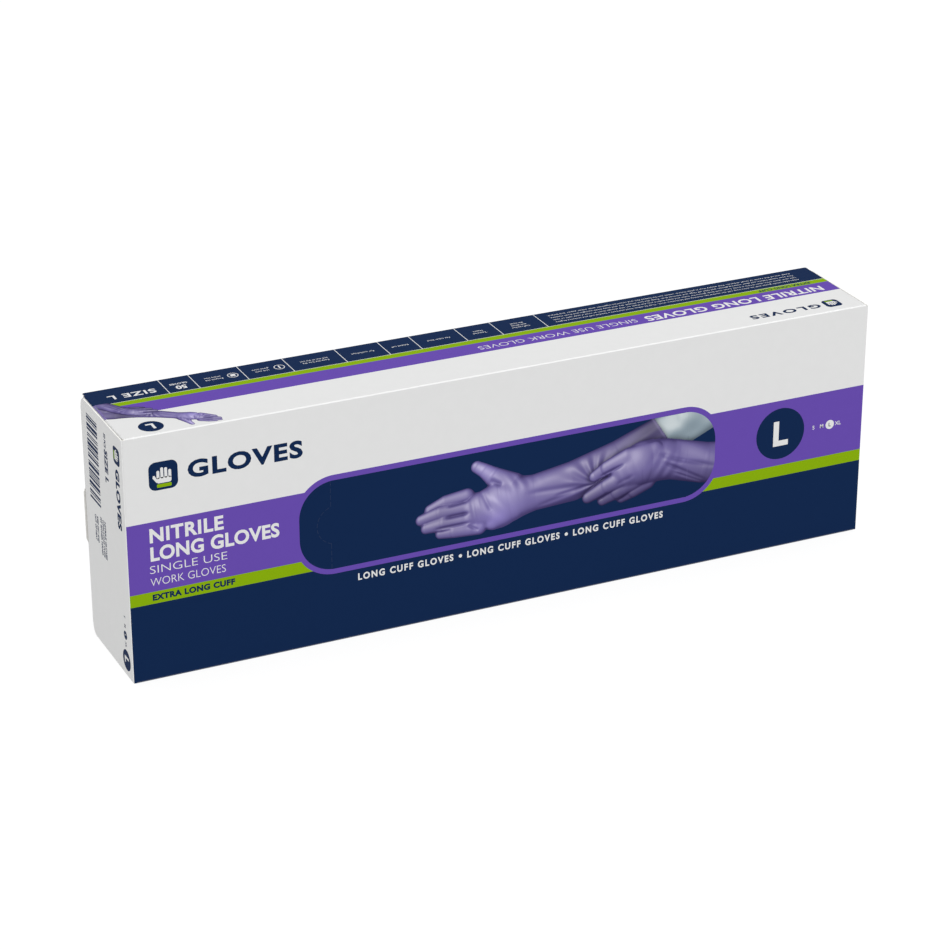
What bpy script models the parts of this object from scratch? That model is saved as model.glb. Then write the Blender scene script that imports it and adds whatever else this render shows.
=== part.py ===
"""Tuck-end folding carton that dispenses long-cuff disposable gloves through a tear-out window.

Metres, +Z up. The origin is the middle of the base. +X runs along the length, -Y is the front with the window.
Each end closes with an end flap hinged on the front panel's upright edge, a tuck flap behind the back panel,
and a dust flap on the top and on the bottom panel. At rest everything is closed.
"""

import math

import bmesh
import bpy
from mathutils import Matrix, Vector

MM = 0.001

# Carton
LENGTH = 420 * MM
DEPTH = 64 * MM
HEIGHT = 133 * MM
BOARD = 0.6 * MM
GAP = 0.3 * MM
FOLD = BOARD + GAP  # outer radius of every fold, whose centre is the joint axis of a hinged flap
HINGE_CLEARANCE = 0.7 * MM  # from an end flap's hinge axis to the boards that meet there

# Window, tear panel and thumb tab
WINDOW_LENGTH = 204 * MM
WINDOW_LOW = 41.4 * MM
WINDOW_HIGH = 90.6 * MM
THUMB_HALF_CHORD = 10 * MM
THUMB_BULGE = 7.6 * MM

# End closures
END_MARGIN = 0.4 * MM  # between an end flap's cut edges and the carton's top and base
END_CORNER_RADIUS = 5 * MM  # of an end flap's rear corners, and of the back panel's corners behind them
TUCK_DEPTH = 12 * MM
TUCK_MARGIN = 6 * MM
TUCK_CHAMFER = 8 * MM
TUCK_LEAN = math.radians(3.5)
LIP_LENGTH = 30 * MM
LIP_PROUD = 0.8 * MM
LIP_TAPER = 2 * MM
LIP_RELIEF = 0.5 * MM  # how far the cuts at the lip's ends run into the tuck flap
DUST_LENGTH = 56 * MM
DUST_FRONT_MARGIN = 2.4 * MM
DUST_REAR_MARGIN = 4 * MM
DUST_FRONT_TAPER = math.radians(32)
DUST_REAR_TAPER = math.radians(5)
DUST_CORNER_RADIUS = 5 * MM
GLUE_WIDTH = 16 * MM
GLUE_END_MARGIN = 15 * MM
GLUE_TAPER = 8 * MM

# Gloves
GLOVE_PAIRS = 25
GLOVE_LENGTH = 404 * MM
GLOVE_FILM = 0.5 * MM  # four layers of film in a flattened pair
STACK_FRONT = -25.4 * MM
STACK_BACK = 28.6 * MM
GLOVE_LOW = 3 * MM
CUFF_WIDTH = 124 * MM
WRIST_WIDTH = 112 * MM
FINGER_LENGTHS = (72 * MM, 84 * MM, 78 * MM, 62 * MM)  # index, middle, ring, little
FINGER_ROOTS = (4 * MM, 0, 2 * MM, 8 * MM)  # how far back each finger starts from the middle finger's root
FINGER_PITCH = 23 * MM
FINGER_SLIT = 2 * MM
PALM_LENGTH = 106 * MM
PALM_EDGE = 4 * MM  # from the little finger's side to the cuff's side
THUMB_RADIUS = 12 * MM
THUMB_ROOT = 22 * MM  # from the wrist to the thumb's root, along the glove
THUMB_RISE = 1 * MM  # from the cuff's side up to the thumb's root
THUMB_REACH = 80 * MM  # from the wrist to the thumb's tip
THUMB_WEB = 54 * MM  # from the wrist to the web
ARC_STEPS = 8

HALF_LENGTH = LENGTH / 2
HALF_DEPTH = DEPTH / 2
FOLD_X = HALF_LENGTH - FOLD
FRONT_HINGE_Y = -HALF_DEPTH + FOLD
TUCK_HINGE_Y = HALF_DEPTH - BOARD - GAP - FOLD
DUST_HINGE_X = FOLD_X - FOLD
DUST_HINGE_TOP = HEIGHT - FOLD
DUST_HINGE_BOTTOM = FOLD
WINDOW_MIDDLE = (WINDOW_LOW + WINDOW_HIGH) / 2
GLOVE_PITCH = (STACK_BACK - STACK_FRONT) / GLOVE_PAIRS

PRINTED = ("printed_board", (0.78, 0.78, 0.77, 1), 0.42)
FLAP_BOARD = ("flap_board", (0.62, 0.60, 0.56, 1), 0.7)
RAW_BOARD = ("raw_board", (0.50, 0.46, 0.40, 1), 0.85)
TEAR_BOARD = ("tear_board", (0.02, 0.04, 0.11, 1), 0.42)
NITRILE = ("nitrile", (0.22, 0.13, 0.46, 1), 0.5)


def remove_everything():
    for existing in list(bpy.data.objects):
        bpy.data.objects.remove(existing)


def make_material(name, finish):
    """Each sub-part has its own Principled material, named after it."""
    slot, colour, roughness = finish
    material = bpy.data.materials.new(f"{name}_{slot}")
    material.use_nodes = True
    shader = material.node_tree.nodes["Principled BSDF"]
    shader.inputs["Base Color"].default_value = colour
    shader.inputs["Roughness"].default_value = roughness
    shader.inputs["Metallic"].default_value = 0.0
    return material


def arc(centre, radius, start_degrees, end_degrees, steps=ARC_STEPS):
    """Points on an arc, ends included, anticlockwise from start to end."""
    points = []
    for step in range(steps + 1):
        angle = math.radians(start_degrees + (end_degrees - start_degrees) * step / steps)
        points.append((centre[0] + radius * math.cos(angle), centre[1] + radius * math.sin(angle)))
    return points


def area(outline):
    pairs = zip(outline, outline[1:] + outline[:1])
    return sum(a[0] * b[1] - b[0] * a[1] for a, b in pairs) / 2


def sheet(name, outline, across, up, low, thickness, finish, pivot=(0, 0, 0)):
    """A flat board: the outline in the across and up directions, from the level low to low + thickness.

    The level is measured along across x up. The object's origin is the pivot, and the outline is relative to it.
    """
    across, up = Vector(across), Vector(up)
    normal = across.cross(up)
    if area(outline) < 0:
        outline = outline[::-1]
    builder = bmesh.new()
    rings = []
    for level in (low, low + thickness):
        ring = [builder.verts.new(across * a + up * b + normal * level) for a, b in outline]
        rings.append(ring)
    builder.faces.new(rings[0][::-1])
    builder.faces.new(rings[1])
    count = len(outline)
    for i in range(count):
        j = (i + 1) % count
        builder.faces.new((rings[0][i], rings[0][j], rings[1][j], rings[1][i]))
    wide = [face for face in builder.faces if len(face.verts) > 4]
    builder.normal_update()
    bmesh.ops.triangulate(builder, faces=wide)
    mesh = bpy.data.meshes.new(name)
    builder.to_mesh(mesh)
    builder.free()
    mesh.materials.append(make_material(name, finish))
    board = bpy.data.objects.new(name, mesh)
    board.location = pivot
    bpy.context.scene.collection.objects.link(board)
    return board


def ride_on(child, parent):
    """Parents the child, keeping its place; neither object is turned."""
    child.parent = parent
    child.location = child.location - parent.location


def rectangle(left, right, low, high):
    return [(left, low), (right, low), (right, high), (left, high)]


def thumb_arc(edge_x, chord_x, inset):
    """The thumb notch's curve from its top end round to its bottom end, bulging towards -X.

    edge_x is the window's upright edge. The curve is inset from the notch, and stops chord_x short of that edge.
    """
    notch_radius = (THUMB_HALF_CHORD**2 + THUMB_BULGE**2) / (2 * THUMB_BULGE)
    centre_x = notch_radius - THUMB_BULGE
    radius = notch_radius - inset
    half_angle = math.degrees(math.acos((centre_x + chord_x) / radius))
    centre = (edge_x + centre_x, WINDOW_MIDDLE)
    return arc(centre, radius, 180 - half_angle, 180 + half_angle, 2 * ARC_STEPS)


def window_outline():
    left, right = -WINDOW_LENGTH / 2, WINDOW_LENGTH / 2
    corners = [(left, WINDOW_LOW), (right, WINDOW_LOW), (right, WINDOW_HIGH), (left, WINDOW_HIGH)]
    return corners + thumb_arc(left, 0, 0)


def make_front_panel():
    """The front board, with the window cut out of it."""
    reach = FOLD_X - HINGE_CLEARANCE
    outline = rectangle(-reach, reach, FOLD, HEIGHT - FOLD)
    panel = sheet("front_panel", outline, (1, 0, 0), (0, 0, 1), HALF_DEPTH - BOARD, BOARD, PRINTED)
    cutter = sheet("window_cutter", window_outline(), (1, 0, 0), (0, 0, 1), 0, 2 * HALF_DEPTH, PRINTED)
    cutter.hide_render = True
    cutter.display_type = "WIRE"
    cut = panel.modifiers.new("window", "BOOLEAN")
    cut.operation = "DIFFERENCE"
    cut.solver = "EXACT"
    cut.object = cutter


def rounded_rectangle(left, right, low, high, radius):
    outline = arc((right - radius, low + radius), radius, -90, 0)
    outline += arc((right - radius, high - radius), radius, 0, 90)
    outline += arc((left + radius, high - radius), radius, 90, 180)
    outline += arc((left + radius, low + radius), radius, 180, 270)
    return outline


def make_long_panels():
    """The top, base and back boards, and the glue flap that closes the tube inside the back's lower edge."""
    reach = DUST_HINGE_X - GAP
    flat = rectangle(-reach, reach, -HALF_DEPTH, HALF_DEPTH)
    sheet("top_panel", flat, (1, 0, 0), (0, 1, 0), HEIGHT - BOARD, BOARD, PRINTED)
    sheet("bottom_panel", flat, (1, 0, 0), (0, 1, 0), 0, BOARD, PRINTED)

    reach = HALF_LENGTH - BOARD
    upright = rounded_rectangle(-reach, reach, FOLD, HEIGHT - FOLD, END_CORNER_RADIUS)
    sheet("back_panel", upright, (1, 0, 0), (0, 0, 1), -HALF_DEPTH, BOARD, PRINTED)

    reach = HALF_LENGTH - GLUE_END_MARGIN
    tip = reach - GLUE_TAPER
    outline = [(-reach, FOLD), (reach, FOLD), (tip, FOLD + GLUE_WIDTH), (-tip, FOLD + GLUE_WIDTH)]
    sheet("glue_flap", outline, (1, 0, 0), (0, 0, 1), -HALF_DEPTH + FOLD, BOARD, RAW_BOARD)


def make_end_flap(side, sign):
    """The outer end board, hinged on the front panel's upright edge, with round corners at its rear."""
    low, high = END_MARGIN, HEIGHT - END_MARGIN
    front = HINGE_CLEARANCE
    rear = TUCK_HINGE_Y - GAP - FRONT_HINGE_Y
    inset = END_CORNER_RADIUS
    outline = [(front, high), (front, low)]
    outline += arc((rear - inset, low + inset), inset, -90, 0)
    outline += arc((rear - inset, high - inset), inset, 0, 90)
    pivot = (sign * FOLD_X, FRONT_HINGE_Y, 0)
    level = FOLD - BOARD if sign > 0 else -FOLD
    return sheet(f"{side}_end_flap", outline, (0, 1, 0), (0, 0, 1), level, BOARD, PRINTED, pivot)


def make_tuck_flap(side, sign):
    """The board folded in behind the back panel, and the thumb lip that stands out past the fold at mid height."""
    low, high = TUCK_MARGIN, HEIGHT - TUCK_MARGIN
    middle = HEIGHT / 2
    start, tip = HINGE_CLEARANCE, TUCK_DEPTH
    lip_tip = -(FOLD + LIP_PROUD)
    foot, crown = middle - LIP_LENGTH / 2, middle + LIP_LENGTH / 2
    outline = [
        (start, low),
        (tip, low + TUCK_CHAMFER),
        (tip, high - TUCK_CHAMFER),
        (start, high),
        (start + LIP_RELIEF, crown),
        (-FOLD, crown),
        (lip_tip, crown - LIP_TAPER),
        (lip_tip, foot + LIP_TAPER),
        (-FOLD, foot),
        (start + LIP_RELIEF, foot),
    ]
    pivot = (sign * FOLD_X, TUCK_HINGE_Y, 0)
    inward = (-sign, 0, 0)
    level = -FOLD if sign < 0 else FOLD - BOARD
    flap = sheet(f"{side}_tuck_flap", outline, inward, (0, 0, 1), level, BOARD, FLAP_BOARD, pivot)
    flap.data.transform(Matrix.Rotation(sign * TUCK_LEAN, 4, "Z"))
    return flap


def dust_outline():
    """Across is +Y from the carton's middle, up is the distance from the fold. The front edge slants away."""
    front = -HALF_DEPTH + DUST_FRONT_MARGIN
    rear = HALF_DEPTH - DUST_REAR_MARGIN
    front_tip = front + DUST_LENGTH * math.tan(DUST_FRONT_TAPER)
    rear_tip = rear - DUST_LENGTH * math.tan(DUST_REAR_TAPER)
    inset = DUST_CORNER_RADIUS
    slant = math.degrees(DUST_FRONT_TAPER)
    lean = math.degrees(DUST_REAR_TAPER)
    front_centre = (front_tip + inset * math.tan(math.radians(45 - slant / 2)), DUST_LENGTH - inset)
    rear_centre = (rear_tip - inset * math.tan(math.radians(45 - lean / 2)), DUST_LENGTH - inset)
    outline = [(front, GAP), (rear, GAP)]
    outline += arc(rear_centre, inset, lean, 90)
    outline += arc(front_centre, inset, 90, 180 - slant)
    return outline


def make_dust_flaps(side, sign):
    """The two inner end boards, folded down from the top panel and up from the base."""
    outline = dust_outline()
    for place, height, up in (("top", DUST_HINGE_TOP, -1), ("bottom", DUST_HINGE_BOTTOM, 1)):
        pivot = (sign * DUST_HINGE_X, 0, height)
        outward = sign * up > 0
        level = FOLD - BOARD if outward else -FOLD
        name = f"{side}_{place}_dust_flap"
        sheet(name, outline, (0, 1, 0), (0, 0, up), level, BOARD, FLAP_BOARD, pivot)


def make_tear_panel():
    """The board torn out of the window, whose right-hand edge is its hinge while it is peeled open."""
    hinge_x = WINDOW_LENGTH / 2
    outline = rectangle(-WINDOW_LENGTH + GAP, -GAP, WINDOW_LOW + GAP, WINDOW_HIGH - GAP)
    pivot = (hinge_x, -HALF_DEPTH, 0)
    return sheet("tear_panel", outline, (1, 0, 0), (0, 0, 1), -BOARD, BOARD, TEAR_BOARD, pivot)


def make_thumb_tab():
    """The thumb notch's board, pushed in about its straight side."""
    outline = thumb_arc(0, GAP, GAP)
    pivot = (-WINDOW_LENGTH / 2, -HALF_DEPTH + BOARD, 0)
    return sheet("thumb_tab", outline, (1, 0, 0), (0, 0, 1), 0, BOARD, TEAR_BOARD, pivot)


def finger_points(root_x, low, high, length):
    """A finger lying along +X, from its lower root round the tip to its upper root."""
    radius = (high - low) / 2
    centre = (root_x + length - radius, (low + high) / 2)
    return [(root_x, low)] + arc(centre, radius, -90, 90) + [(root_x, high)]


def glove_outline():
    """A flat long-cuff glove with its fingers towards +X and its thumb below, centred on the origin."""
    tip = GLOVE_LENGTH / 2
    knuckles = tip - max(FINGER_LENGTHS)
    wrist = knuckles - PALM_LENGTH
    side = CUFF_WIDTH / 2
    palm_high = side - PALM_EDGE
    palm_low = palm_high - FINGER_PITCH * len(FINGER_LENGTHS)
    outline = [(-tip, -side), (wrist, -WRIST_WIDTH / 2), (wrist + THUMB_ROOT, THUMB_RISE - side)]
    outline += arc((wrist + THUMB_REACH - THUMB_RADIUS, THUMB_RADIUS - side), THUMB_RADIUS, -90, 90)
    outline.append((wrist + THUMB_WEB, 2 * THUMB_RADIUS - side + GAP))
    for index, (length, back) in enumerate(zip(FINGER_LENGTHS, FINGER_ROOTS)):
        low = palm_low + FINGER_PITCH * index + FINGER_SLIT / 2
        outline += finger_points(knuckles - back, low, low + FINGER_PITCH - FINGER_SLIT, length)
    outline += [(wrist, WRIST_WIDTH / 2), (-tip, side)]
    return outline


def make_gloves():
    """Flattened pairs stacked from the window to the back, turned end for end in alternate pairs."""
    outline = glove_outline()
    turned = [(-a, b) for a, b in outline]
    for index in range(GLOVE_PAIRS):
        name = f"glove_pair_{index + 1:02d}"
        middle = STACK_FRONT + GLOVE_PITCH * (index + 0.5)
        shape = turned if index % 2 else outline
        pivot = (0, middle, GLOVE_LOW + CUFF_WIDTH / 2)
        sheet(name, shape, (1, 0, 0), (0, 0, 1), -GLOVE_FILM / 2, GLOVE_FILM, NITRILE, pivot)


def make_ends():
    for side, sign in (("left", -1), ("right", 1)):
        end_flap = make_end_flap(side, sign)
        tuck_flap = make_tuck_flap(side, sign)
        ride_on(tuck_flap, end_flap)
        make_dust_flaps(side, sign)


def make_window_boards():
    tear_panel = make_tear_panel()
    thumb_tab = make_thumb_tab()
    ride_on(thumb_tab, tear_panel)


remove_everything()
make_front_panel()
make_long_panels()
make_ends()
make_window_boards()
make_gloves()
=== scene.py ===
"""Looks of the glove carton: its creased and printed blank, flaps and tear panel, and the gloves inside.

Shapes are written in millimetres and made in metres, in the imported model's frame: the origin is the
middle of the base, +X runs along the carton, -Y is the front with the window and +Z is up.
"""

import math

import bpy
import numpy as np
from mathutils import Matrix, Vector
from mathutils.geometry import delaunay_2d_cdt


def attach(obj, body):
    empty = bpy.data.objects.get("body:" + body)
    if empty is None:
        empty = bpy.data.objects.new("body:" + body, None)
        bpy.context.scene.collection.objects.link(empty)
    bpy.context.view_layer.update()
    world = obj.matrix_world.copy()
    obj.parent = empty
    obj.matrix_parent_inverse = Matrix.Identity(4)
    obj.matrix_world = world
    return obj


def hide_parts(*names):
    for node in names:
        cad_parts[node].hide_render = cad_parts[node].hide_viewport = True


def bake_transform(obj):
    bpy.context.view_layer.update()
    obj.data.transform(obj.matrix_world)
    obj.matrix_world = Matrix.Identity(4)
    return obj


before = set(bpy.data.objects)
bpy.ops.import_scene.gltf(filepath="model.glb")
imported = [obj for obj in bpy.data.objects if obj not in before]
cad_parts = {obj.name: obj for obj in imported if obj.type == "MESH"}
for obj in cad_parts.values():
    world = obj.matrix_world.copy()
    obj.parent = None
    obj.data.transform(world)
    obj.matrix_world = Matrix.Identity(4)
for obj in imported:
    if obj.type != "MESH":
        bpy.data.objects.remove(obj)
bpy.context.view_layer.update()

MM = 0.001

# Carton, as packed
LENGTH, DEPTH, HEIGHT = 420, 64, 133
BOARD = 0.6
FOLD = 0.9  # outer radius of every fold
INNER_FOLD = FOLD - BOARD
HALF_LENGTH, HALF_DEPTH = LENGTH / 2, DEPTH / 2
FRONT_REACH = 208.4
LONG_REACH = 207.9
CORNER_REACH, REAR_REACH = 208.9, 208.6
BACK_REACH, BACK_FOLD_REACH = 209.4, 206.0
FLAP_CORNER = 5  # radius of the round corners of the back panel and the flaps
GLUE_REACH, GLUE_TIP_REACH, GLUE_WIDTH = 195, 187, 16
BACK_CUT = 0.2
REAR_NOTCH = 0.5
FOLD_STEPS = 6
FOLD_PLAIN_SHARE = 0.35  # share of the front's upper fold that keeps its clean white, without the paler worn white and its painted highlight
TUCK_WEAR_HIGHLIGHT, UPRIGHT_WEAR_HIGHLIGHT, DUST_WEAR_HIGHLIGHT = (0.15, 0.85), (0.5, 0.9), (0.62, 0.95)  # shares of folds painted paler white: partly rubbed wear, partly a painted highlight
UPRIGHT_PRINT, DUST_PRINT = 0.8, 1.0  # how far a panel's print runs into these folds

END_FOLD_X = HALF_LENGTH - FOLD
END_FOLD_Y = -HALF_DEPTH + FOLD
TUCK_FOLD_Y = 30.2
TUCK_LEAN = math.radians(3.5)
DUST_FOLD_X = 208.2
CREASE_FLAT = 0.7
END_CUT = 0.4
LIP = (51.5, 81.5)
LIP_CORNERS = ((0, 1.2), (0, -0.9), (2, -1.7))  # as (inset from the lip's end, distance past the fold)
TUCK_ROOT, TUCK_TIP, TUCK_LENGTH = (6, 127), (14, 119), 12
DUST_ROOT = (-29.6, 28.0)
DUST_LENGTH = 56
DUST_TAPERS = (math.radians(32), math.radians(5))

WINDOW = (-102.0, 102.0, 41.4, 90.6)
WINDOW_Z = (WINDOW[2] + WINDOW[3]) / 2
# Ink under the picture beside the tear panel's hinge, as (low, high, ink)
SEAM_REACH = 0.3
SEAM_INKS = ((51.5, 73.4, "lilac"), (77.0, 90.4, "cloth"))
THUMB_HALF_CHORD, THUMB_BULGE = 10, 7.6
TAB_BEVEL = 0.75

# Print
BANDS = ((0, 42.4, "navy"), (42.4, 49.0, "green"), (49.0, 86.8, "purple"))  # as (low, high, ink)
PURPLE_REACH, GREEN_REACH, TOP_LINE = (-5.0, 7.8), 12.4, 0.3  # on the top panel, towards the back
OVAL_BORDER = (-122.0, 121.2, 38.6, 93.6)
OVAL_INSIDE = (-119.4, 118.6, 41.4, 90.6)
OVAL_BORDER_RADIUS, OVAL_INSIDE_RADIUS = 21.6, 19
SIZE_DISC = (158.6, 67.5, 14.8)
TOP_SIZE_DISC = (-191.3, -22, 6.3)
INK_GLOSS, TOP_GLOSS = 0.01, 0.02
INK = 0.03  # half the thickness of a printed piece, which straddles the board's surface

WHITE = (0.760, 0.762, 0.760)
PURPLE = (0.134, 0.0715, 0.403)
NAVY = (0.0062, 0.0214, 0.0740)
CLOTH_INK = (0.300, 0.360, 0.380)
GREEN = (0.241, 0.408, 0.0040)
LILAC_INK = (0.200, 0.165, 0.370)


# ---- materials


class Nodes:
    """Short calls for one material's node tree."""

    def __init__(self, name):
        self.material = bpy.data.materials.new(name)
        self.material.use_nodes = True
        self.tree = self.material.node_tree
        self.shader = self.tree.nodes["Principled BSDF"]
        self.place = self.add("ShaderNodeTexCoord").outputs["Object"]

    def add(self, kind, inputs=(), **settings):
        """A new node with its (socket, value) pairs and its own settings."""
        node = self.tree.nodes.new(kind)
        for name, value in settings.items():
            setattr(node, name, value)
        for name, value in inputs:
            node.inputs[name].default_value = value
        return node

    def link(self, source, target):
        self.tree.links.new(source, target)

    def feed(self, name, source):
        """Drives one of the shader's sockets."""
        self.link(source, self.shader.inputs[name])

    def set(self, **values):
        for name, value in values.items():
            self.shader.inputs[name.replace("_", " ")].default_value = value

    def noise(self, size_mm, detail=3.0, stretch=(1, 1, 1)):
        """Noise whose lumps are about size_mm across, stretched along the axes."""
        mapping = self.add("ShaderNodeMapping", [("Scale", [1 / s for s in stretch])])
        self.link(self.place, mapping.inputs["Vector"])
        noise = self.add("ShaderNodeTexNoise", [("Scale", 1 / (size_mm * MM)), ("Detail", detail)])
        self.link(mapping.outputs["Vector"], noise.inputs["Vector"])
        return noise.outputs["Fac"]

    def spread(self, value, low, high):
        """The middle of a noise's range, 0.3 to 0.7, mapped to low..high."""
        ends = [("From Min", 0.3), ("From Max", 0.7), ("To Min", low), ("To Max", high)]
        node = self.add("ShaderNodeMapRange", ends)
        self.link(value, node.inputs["Value"])
        return node.outputs["Result"]

    def colours(self, value, stops):
        ramp = self.add("ShaderNodeValToRGB")
        while len(ramp.color_ramp.elements) < len(stops):
            ramp.color_ramp.elements.new(0.5)
        for element, (position, colour) in zip(ramp.color_ramp.elements, stops):
            element.position = position
            element.color = (*colour, 1)
        self.link(value, ramp.inputs["Fac"])
        return ramp.outputs["Color"]

    def bump(self, heights, distance_mm, under=None):
        node = self.add("ShaderNodeBump", [("Distance", distance_mm * MM)])
        self.link(heights, node.inputs["Height"])
        if under is not None:
            self.link(under, node.inputs["Normal"])
        return node.outputs["Normal"]


def scaled(colour, factor):
    return tuple(min(channel * factor, 1.0) for channel in colour)


def mixed(colour, other, share):
    return tuple(a * (1 - share) + b * share for a, b in zip(colour, other))


def ink_material(name, colour, wear_and_highlight=0.0, gloss=INK_GLOSS):
    """Satin ink on coated board: slight mottling, and fibres that show through the coating."""
    n = Nodes(name)
    # paler towards white by this share on folds: partly cracked ink, partly a painted highlight
    base = mixed(colour, (0.93, 0.93, 0.92), wear_and_highlight)
    tints = [(0.3, scaled(base, 0.992)), (0.7, scaled(base, 1.006))]
    n.feed("Base Color", n.colours(n.noise(6, 4), tints))
    n.feed("Roughness", n.spread(n.noise(2.2, 3), 0.40, 0.52))
    fibres = n.bump(n.noise(0.35, 2, (3.2, 1, 1)), 0.006)
    n.feed("Normal", n.bump(n.noise(18, 2), 0.012, under=fibres))
    n.set(Specular_IOR_Level=gloss)
    return n.material


def board_material(name, colour, fleck, speckle):
    """Uncoated board: soft fibres with darker and paler flecks."""
    n = Nodes(name)
    stops = [(0.32, scaled(colour, 1 - speckle)), (0.5, colour), (0.68, scaled(colour, 1 + speckle))]
    n.feed("Base Color", n.colours(n.noise(fleck, 5, (2.4, 1, 1)), stops))
    n.feed("Roughness", n.spread(n.noise(1.5), 0.78, 0.92))
    n.feed("Normal", n.bump(n.noise(0.3, 4, (2.5, 1, 1)), 0.03))
    n.set(Specular_IOR_Level=0.2)
    return n.material


def picture_material():
    """The printed picture takes its colour from the mesh, under the same satin coating."""
    n = Nodes("picture_print")
    paint = n.add("ShaderNodeVertexColor", layer_name="print")
    grain = n.colours(n.noise(0.5, 2), [(0.3, (0.94, 0.94, 0.94)), (0.7, (1.0, 1.0, 1.0))])
    mix = n.add("ShaderNodeMix", [("Factor", 1.0)], data_type="RGBA", blend_type="MULTIPLY")
    n.link(paint.outputs["Color"], mix.inputs["A"])
    n.link(grain, mix.inputs["B"])
    n.feed("Base Color", mix.outputs["Result"])
    n.feed("Roughness", n.spread(n.noise(2.2, 3), 0.40, 0.52))
    n.set(Specular_IOR_Level=INK_GLOSS)
    return n.material


def nitrile_material():
    """Thin satin rubber film with a fine dipped grain and soft creases."""
    n = Nodes("purple_nitrile")
    stops = [(0.25, (0.095, 0.062, 0.29)), (0.55, (0.145, 0.100, 0.39)), (0.8, (0.215, 0.165, 0.49))]
    n.feed("Base Color", n.colours(n.noise(26, 4, (2.2, 1, 1)), stops))
    n.feed("Roughness", n.spread(n.noise(3), 0.30, 0.44))
    grain = n.bump(n.noise(0.45, 3), 0.02)
    creases = n.bump(n.noise(9, 4, (5, 1, 1)), 1.5, under=grain)
    n.feed("Normal", n.bump(n.noise(2.6, 3, (3, 1, 1)), 0.2, under=creases))
    n.set(Specular_IOR_Level=0.5)
    return n.material


MATERIALS = {
    "white": ink_material("white_coated_board", WHITE),
    "purple": ink_material("purple_ink", PURPLE),
    "navy": ink_material("navy_ink", NAVY),
    "top_navy": ink_material("top_navy_ink", NAVY, gloss=TOP_GLOSS),
    "green": ink_material("green_ink", GREEN),
    "lilac": ink_material("lilac_ink", LILAC_INK),
    "cloth": ink_material("cloth_ink", CLOTH_INK),
    # Fold inks, paler than their panels: partly worn ink, partly a painted highlight
    "white_fold": ink_material("fold_white_wear_and_painted_highlight", scaled(WHITE, 1.20)),
    "navy_fold": ink_material("fold_navy_wear_and_painted_highlight", NAVY, 0.10),
    "slit": ink_material("cut_navy_ink", mixed(NAVY, (0.45, 0.46, 0.5), 0.03)),
    "inside": board_material("uncoated_board_inside", (0.86, 0.85, 0.82), 1.1, 0.05),
    "cut": board_material("raw_board_edge", (0.95, 0.94, 0.91), 0.5, 0.04),
    "picture": picture_material(),
    "nitrile": nitrile_material(),
}


# ---- boards


def rectangle(left, right, low, high):
    return [(left, low), (right, low), (right, high), (left, high)]


def arc(centre, radius, start, end, steps):
    """Points on an arc from the start angle to the end angle in degrees, ends included."""
    angles = [math.radians(start + (end - start) * i / steps) for i in range(steps + 1)]
    return [(centre[0] + radius * math.cos(a), centre[1] + radius * math.sin(a)) for a in angles]


def rounded(left, right, low, high, radius, steps=16):
    """A rectangle with round corners, anticlockwise."""
    near_x, far_x, near_y, far_y = left + radius, right - radius, low + radius, high - radius
    points = []
    for i, centre in enumerate(((far_x, near_y), (far_x, far_y), (near_x, far_y), (near_x, near_y))):
        points += arc(centre, radius, 90 * i - 90, 90 * i, steps)
    return points


def disc(x, y, radius, steps=48):
    return arc((x, y), radius, 0, 360, steps)[:-1]


def inside(loop, points):
    """Whether each point lies inside the loop."""
    x, y = points[:, 0], points[:, 1]
    odd = np.zeros(len(points), bool)
    for (ax, ay), (bx, by) in zip(loop, loop[1:] + loop[:1]):
        if ay == by:
            continue
        crosses = (ay > y) != (by > y)
        odd ^= crosses & (x < ax + (y - ay) * (bx - ax) / (by - ay))
    return odd


def triangulate(loops, lines=(), dots=()):
    """Every loop and line becomes edges of the triangulation. Returns the points and the triangles."""
    points, edges = [], []
    for path, closed in [(loop, True) for loop in loops] + [(line, False) for line in lines]:
        start, count = len(points), len(path)
        points += path
        edges += [(start + i, start + (i + 1) % count) for i in range(count if closed else count - 1)]
    points += list(dots)
    result = delaunay_2d_cdt([Vector(p) for p in points], edges, [], 0, 1e-5)
    return np.array([tuple(p) for p in result[0]]), [tuple(face) for face in result[2]]


def add_object(name, data):
    made = bpy.data.objects.new(name, data)
    bpy.context.scene.collection.objects.link(made)
    return made


def link_mesh(name, vertices, faces, materials, indices=None):
    """A mesh object from points in millimetres, without the points that no face uses."""
    used = sorted({i for face in faces for i in face})
    number = {old: new for new, old in enumerate(used)}
    mesh = bpy.data.meshes.new(name)
    points = np.array(vertices, float)[used] * MM
    mesh.from_pydata(points.tolist(), [], [tuple(number[i] for i in face) for face in faces])
    for key in materials:
        mesh.materials.append(MATERIALS[key])
    if indices is not None:
        mesh.polygons.foreach_set("material_index", indices)
    mesh.update()
    return add_object(name, mesh)


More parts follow.
